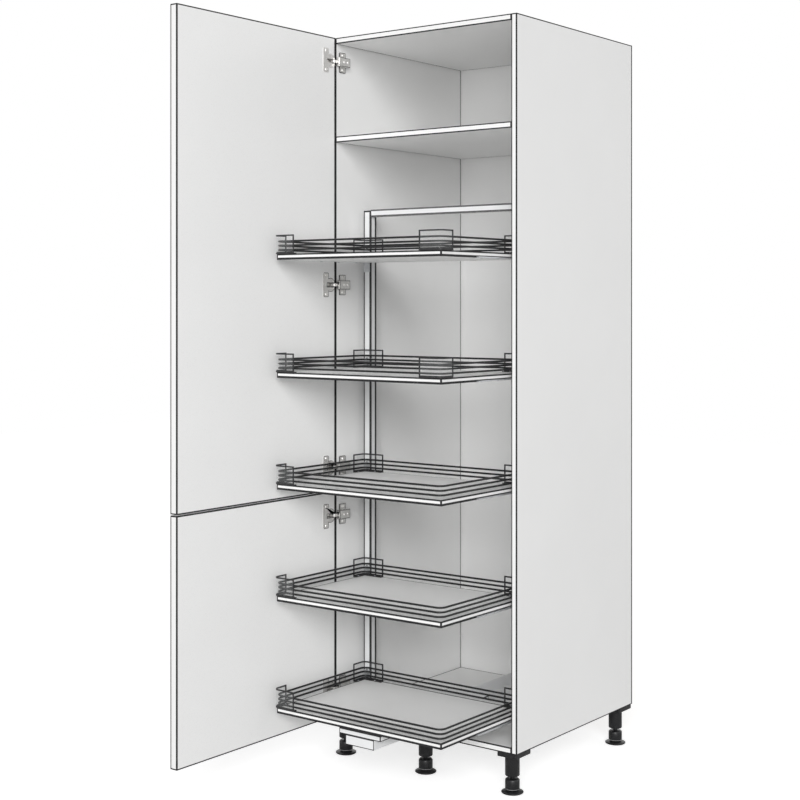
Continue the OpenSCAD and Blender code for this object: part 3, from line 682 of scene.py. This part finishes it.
def crossHeadTree(name, material):
    # A low cone, narrower at its top, with a cross cut into it
    sizes = ("Head Diameter", "Head Height", "Slot Length", "Slot Width", "Slot Depth")
    cone ={"sides": 24, "top": 0.36, "bottom": 0.5}     # radii as shares of the diameter
    tree, nodes, links, given = newTree(name, sizes, seed=7)
    across = given.outputs["Head Diameter"]
    head = nodes.new("GeometryNodeMeshCone")
    head.inputs["Vertices"].default_value = cone["sides"]
    links.new(scaled(nodes, links, across, cone["top"]), head.inputs["Radius Top"])
    links.new(scaled(nodes, links, across, cone["bottom"]), head.inputs["Radius Bottom"])
    links.new(given.outputs["Head Height"], head.inputs["Depth"])
    cut = nodes.new("GeometryNodeMeshBoolean")
    cut.operation = "DIFFERENCE"
    cut.solver = "EXACT"
    links.new(head.outputs["Mesh"], cut.inputs["Mesh 1"])
    for turned in (False, True):
        links.new(slotBlock(nodes, links, given, turned), cut.inputs["Mesh 2"])
    return headsOnSpots(tree, nodes, links, given, cut.outputs["Mesh"], material)


def domeTree(name, material):
    # Low round heads for nails
    dome = {"segments": 16, "rings": 8}
    tree, nodes, links, given = newTree(name, ("Head Diameter", "Head Height"), seed=3)
    ball = nodes.new("GeometryNodeMeshUVSphere")
    ball.inputs["Segments"].default_value = dome["segments"]
    ball.inputs["Rings"].default_value = dome["rings"]
    ball.inputs["Radius"].default_value = 1.0
    flat = nodes.new("ShaderNodeCombineXYZ")
    half = scaled(nodes, links, given.outputs["Head Diameter"], 0.5)
    links.new(half, flat.inputs["X"])
    links.new(half, flat.inputs["Y"])
    links.new(given.outputs["Head Height"], flat.inputs["Z"])
    squash = nodes.new("GeometryNodeTransform")
    links.new(ball.outputs["Mesh"], squash.inputs["Geometry"])
    links.new(flat.outputs[0], squash.inputs["Scale"])
    return headsOnSpots(tree, nodes, links, given, squash.outputs["Geometry"], material)


def threadTree(name, material):
    # A rounded ridge that winds up a stem, one for each spot
    steps = {"turn": 24, "ridge": 8}
    tree, nodes, links, given = newTree(name, ("Stem Radius", "Ridge", "Turns", "Length"), seed=0)
    spiral = nodes.new("GeometryNodeCurveSpiral")
    spiral.inputs["Resolution"].default_value = steps["turn"]
    links.new(given.outputs["Turns"], spiral.inputs["Rotations"])
    links.new(given.outputs["Stem Radius"], spiral.inputs["Start Radius"])
    links.new(given.outputs["Stem Radius"], spiral.inputs["End Radius"])
    links.new(given.outputs["Length"], spiral.inputs["Height"])
    ridge = nodes.new("GeometryNodeCurvePrimitiveCircle")
    ridge.inputs["Resolution"].default_value = steps["ridge"]
    links.new(given.outputs["Ridge"], ridge.inputs["Radius"])
    sweep = nodes.new("GeometryNodeCurveToMesh")
    sweep.inputs["Fill Caps"].default_value = True
    links.new(spiral.outputs["Curve"], sweep.inputs["Curve"])
    links.new(ridge.outputs["Curve"], sweep.inputs["Profile Curve"])
    return headsOnSpots(tree, nodes, links, given, sweep.outputs["Mesh"], material)


def putOn(tree, name, spots, sizes, body):
    # One piece from a tree: its heads stand on the spots, each a place and an aim
    carrier = bpy.data.meshes.new(name)
    carrier.from_pydata([place for place, aim in spots], [], [])
    aims = carrier.attributes.new("aim", "FLOAT_VECTOR", "POINT")
    aims.data.foreach_set("vector", [c for place, aim in spots for c in aim])
    holder = newObject(name + "Spots", carrier)
    spread = holder.modifiers.new("heads", "NODES")
    spread.node_group = tree
    for item in tree.interface.items_tree:
        if item.item_type == "SOCKET" and item.in_out == "INPUT" and item.name in sizes:
            spread[item.identifier] = sizes[item.name]
    made = bpy.data.meshes.new_from_object(
        holder.evaluated_get(bpy.context.evaluated_depsgraph_get()))
    holder.modifiers.remove(spread)
    bpy.data.objects.remove(holder)
    dropAttributes(made, ("aim", "UVMap"))
    made.name = name
    piece = newObject(name, made)
    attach(piece, body)


def middle(low, high):
    return [(a + b) / 2 for a, b in zip(low, high)]


toRight, toWall, up, down = (1, 0, 0), (0, 1, 0), (0, 0, 1), (0, 0, -1)
nickelHeads = crossHeadTree("nickelCrossHeads", finishes["nickel"])
zincHeads = crossHeadTree("zincCrossHeads", finishes["zinc"])

hingeScrews = {"Head Diameter": 0.0082, "Head Height": 0.0016, "Slot Length": 0.0048,
               "Slot Width": 0.001, "Slot Depth": 0.0011}
hingeLayout = {"wingHalf": 0.020, "wingThickness": 0.003, "fromArmEnd": (0.009, 0.024),
               "earHalf": 0.026}
spots = []
for low, high, crown in lumps("hinge_plates"):
    z = middle(low, high)[2]
    for side in (-1, 1):
        place = (low.x + hingeLayout["wingThickness"], crown.y, z + side * hingeLayout["wingHalf"])
        spots.append((Vector(place), toRight))
for low, high, crown in lumps("hinge_arms"):
    z = middle(low, high)[2]
    for back in hingeLayout["fromArmEnd"]:
        spots.append((Vector((high.x, high.y - back, z)), toRight))
putOn(nickelHeads, "hingeSideScrews", spots, hingeScrews, "carcase")

for door, body in (("upper", "door_upper"), ("lower", "door_lower")):
    spots = []
    for low, high, crown in lumps(f"{door}_hinge_cups"):
        z = middle(low, high)[2]
        for side in (-1, 1):
            spots.append((Vector((high.x, crown.y, z + side * hingeLayout["earHalf"])), toRight))
    putOn(nickelHeads, f"{door}CupScrews", spots, hingeScrews, body)

steelScrews = {"Head Diameter": 0.008, "Head Height": 0.0018, "Slot Length": 0.0046,
               "Slot Width": 0.001, "Slot Depth": 0.0012}
carcaseLayout = {"bracketPlate": 0.0025, "bracketForward": 0.002, "railPlate": 0.0025,
                 "railShares": (0.06, 0.35, 0.65, 0.94)}
spots = []
for low, high, crown in lumps("wall_brackets"):
    x, y = middle(low, high)[:2]
    place = (x, y - carcaseLayout["bracketForward"], low.z + carcaseLayout["bracketPlate"])
    spots.append((Vector(place), up))
low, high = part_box("runner_rail")
for share in carcaseLayout["railShares"]:
    place = (0, low.y + share * (high.y - low.y), low.z + carcaseLayout["railPlate"])
    spots.append((Vector(place), up))
putOn(zincHeads, "carcaseScrews", spots, steelScrews, "carcase")

legScrews = {"Head Diameter": 0.0075, "Head Height": 0.0016, "Slot Length": 0.0042,
             "Slot Width": 0.001, "Slot Depth": 0.001}
socketPlate = {"inset": 0.008, "thickness": 0.012}
spots = []
for low, high, crown in lumps("leg_sockets"):
    for x in (low.x + socketPlate["inset"], high.x - socketPlate["inset"]):
        for y in (low.y + socketPlate["inset"], high.y - socketPlate["inset"]):
            spots.append((Vector((x, y, high.z - socketPlate["thickness"])), down))
putOn(zincHeads, "legScrews", spots, legScrews, "carcase")

pullOutLayout = {"gussetHalf": 0.009, "gussetBack": 0.012, "gussetPlate": 0.003,
                 "armLength": 0.22, "armShares": (0.12, 0.45, 0.8)}
spots = []
for low, high, crown in lumps("frame_gussets"):
    x = middle(low, high)[0]
    for side in (-1, 1):
        place = (x + side * pullOutLayout["gussetHalf"], high.y - pullOutLayout["gussetBack"],
                 low.z + pullOutLayout["gussetPlate"])
        spots.append((Vector(place), up))
for n in trays:
    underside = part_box(f"tray_{n}")[0].z
    for low, high, crown in lumps(f"tray_carriers_{n}"):
        x = middle(low, high)[0]
        for share in pullOutLayout["armShares"]:
            place = (x, low.y + share * pullOutLayout["armLength"], underside)
            spots.append((Vector(place), down))
putOn(zincHeads, "pullOutScrews", spots, steelScrews, "pull_out")

# Screws through the folded feet of the corner plates
footScrews = {"Head Diameter": 0.0052, "Head Height": 0.0011, "Slot Length": 0.0032,
              "Slot Width": 0.0007, "Slot Depth": 0.0008}
footLayout = {"plate": 0.002, "inset": 0.009, "alongX": 0.045, "alongY": 0.036}
spots = []
for n in trays:
    trayY = middle(*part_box(f"tray_{n}"))[1]
    for low, high, crown in lumps(f"corner_plates_{n}"):
        x, y = middle(low, high)[:2]
        outX, toX = (low.x, 1) if x < 0 else (high.x, -1)
        outY, toY = (low.y, 1) if y < trayY else (high.y, -1)
        top = low.z + footLayout["plate"]
        for aside, along in ((footLayout["alongX"], footLayout["inset"]),
                             (footLayout["inset"], footLayout["alongY"])):
            spots.append((Vector((outX + toX * aside, outY + toY * along, top)), up))
putOn(zincHeads, "cornerPlateScrews", spots, footScrews, "pull_out")

# Nails through the hardboard back into the boards' rear edges
nails = {"Head Diameter": 0.0032, "Head Height": 0.00028}
nailLayout = {"edge": 0.005, "end": 0.02, "step": 0.11, "perBoard": 5}
nailTree = domeTree("backNails", finishes["zinc"])
low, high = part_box("back_panel")
rearFace = high.y - backBoard["nailHead"]
rows = int((high.z - low.z) / nailLayout["step"])
spots = []
for i in range(rows + 1):
    z = low.z + nailLayout["end"] + i * (high.z - low.z - 2 * nailLayout["end"]) / rows
    for x in (low.x + nailLayout["edge"], high.x - nailLayout["edge"]):
        spots.append((Vector((x, rearFace, z)), toWall))
for node in ("top_panel", "fixed_shelf", "bottom_panel"):
    z = middle(*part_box(node))[2]
    for i in range(nailLayout["perBoard"]):
        x = (i - nailLayout["perBoard"] // 2) * nailLayout["step"]
        spots.append((Vector((x, rearFace, z)), toWall))
putOn(nailTree, "backNails", spots, nails, "carcase")

# Thread on the levelling stems, which shows in the groove between sleeve and barrel
threads = {"Stem Radius": 0.0059, "Ridge": 0.0005, "Turns": 3.5, "Length": 0.0068}
grooveZ = 0.0367
stemTree = threadTree("stemThreads", finishes["blackPlastic"])
spots = []
for low, high, crown in lumps("leg_feet"):
    x, y = middle(low, high)[:2]
    spots.append((Vector((x, y, grooveZ)), up))
putOn(stemTree, "stemThreads", spots, threads, "carcase")
print("fasteners placed")


# Floor: it keeps the shadow and shows a camera white everywhere else

floorLook = {"half": 9.0, "albedo": 0.8, "shown": 0.6}
floorMesh = bpy.data.meshes.new("studioFloor")
h = floorLook["half"]
floorMesh.from_pydata([(-h, -h, 0), (h, -h, 0), (h, h, 0), (-h, h, 0)], [], [(0, 1, 2, 3)])
studioFloor = newObject("studioFloor", floorMesh)
floorPaint = bpy.data.materials.new("studioFloorPaint")
floorPaint.use_nodes = True
nodes, links = floorPaint.node_tree.nodes, floorPaint.node_tree.links
nodes.clear()
matt = nodes.new("ShaderNodeBsdfDiffuse")
matt.inputs["Color"].default_value = (*[floorLook["albedo"]] * 3, 1)
glow = nodes.new("ShaderNodeEmission")
rays = nodes.new("ShaderNodeLightPath")
links.new(scaled(nodes, links, rays.outputs["Is Camera Ray"], floorLook["shown"]),
          glow.inputs["Strength"])
added = nodes.new("ShaderNodeAddShader")
links.new(matt.outputs[0], added.inputs[0])
links.new(glow.outputs[0], added.inputs[1])
out = nodes.new("ShaderNodeOutputMaterial")
links.new(added.outputs[0], out.inputs["Surface"])
floorMesh.materials.append(floorPaint)

# Light: a white world, dimmer where it lights than where it is seen, a wide sun and a fill

studioLight = {"sky": 0.37, "sun": 1.6, "sunAngle": 28, "sunFrom": (0.6, -0.78, 0.36),
               "fill": 46.0, "fillAt": (2.1, -3.6, 1.6), "fillTo": (0.0, 0.0, 0.95),
               "fillSize": 1.6}
world = bpy.data.worlds.new("studio")
bpy.context.scene.world = world
world.use_nodes = True
nodes, links = world.node_tree.nodes, world.node_tree.links
background = nodes["Background"]
background.inputs["Color"].default_value = (1, 1, 1, 1)
rays = nodes.new("ShaderNodeLightPath")
seen = rays.outputs["Is Camera Ray"]
for kind in ("Is Glossy Ray", "Is Transmission Ray"):
    either = nodes.new("ShaderNodeMath")
    either.operation = "MAXIMUM"
    links.new(seen, either.inputs[0])
    links.new(rays.outputs[kind], either.inputs[1])
    seen = either.outputs[0]
strength = nodes.new("ShaderNodeMapRange")
strength.inputs["To Min"].default_value = studioLight["sky"]
strength.inputs["To Max"].default_value = 1.0
links.new(seen, strength.inputs["Value"])
links.new(strength.outputs["Result"], background.inputs["Strength"])


def shoneFrom(lamp, way):
    # Turns a lamp so that its light comes from the given way
    lamp.rotation_euler = way.to_track_quat("Z", "Y").to_euler()


sunData = bpy.data.lights.new("softSun", "SUN")
sunData.energy = studioLight["sun"]
sunData.angle = math.radians(studioLight["sunAngle"])
shoneFrom(newObject("softSun", sunData), Vector(studioLight["sunFrom"]))

fillData = bpy.data.lights.new("frontFill", "AREA")
fillData.energy = studioLight["fill"]
fillData.size = studioLight["fillSize"]
fill = newObject("frontFill", fillData)
fill.location = studioLight["fillAt"]
shoneFrom(fill, Vector(studioLight["fillAt"]) - Vector(studioLight["fillTo"]))

# Camera, fitted to the drawing's own perspective

view = {"at": (2.29511, -3.14382, 1.23432), "turn": 37.5704, "sensor": 36.0, "lens": 66.6342,
        "shiftX": 0.01438, "shiftY": -0.12244, "reach": 100.0}
cameraData = bpy.data.cameras.new("photoView")
cameraData.sensor_width = view["sensor"]
cameraData.lens = view["lens"]
cameraData.shift_x = view["shiftX"]
cameraData.shift_y = view["shiftY"]
cameraData.clip_end = view["reach"]
camera = newObject("photoView", cameraData)
camera.location = view["at"]
camera.rotation_euler = (math.radians(90), 0, math.radians(view["turn"]))
bpy.context.scene.camera = camera
bpy.context.scene.view_settings.view_transform = "Standard"
print("floor, light and camera set")
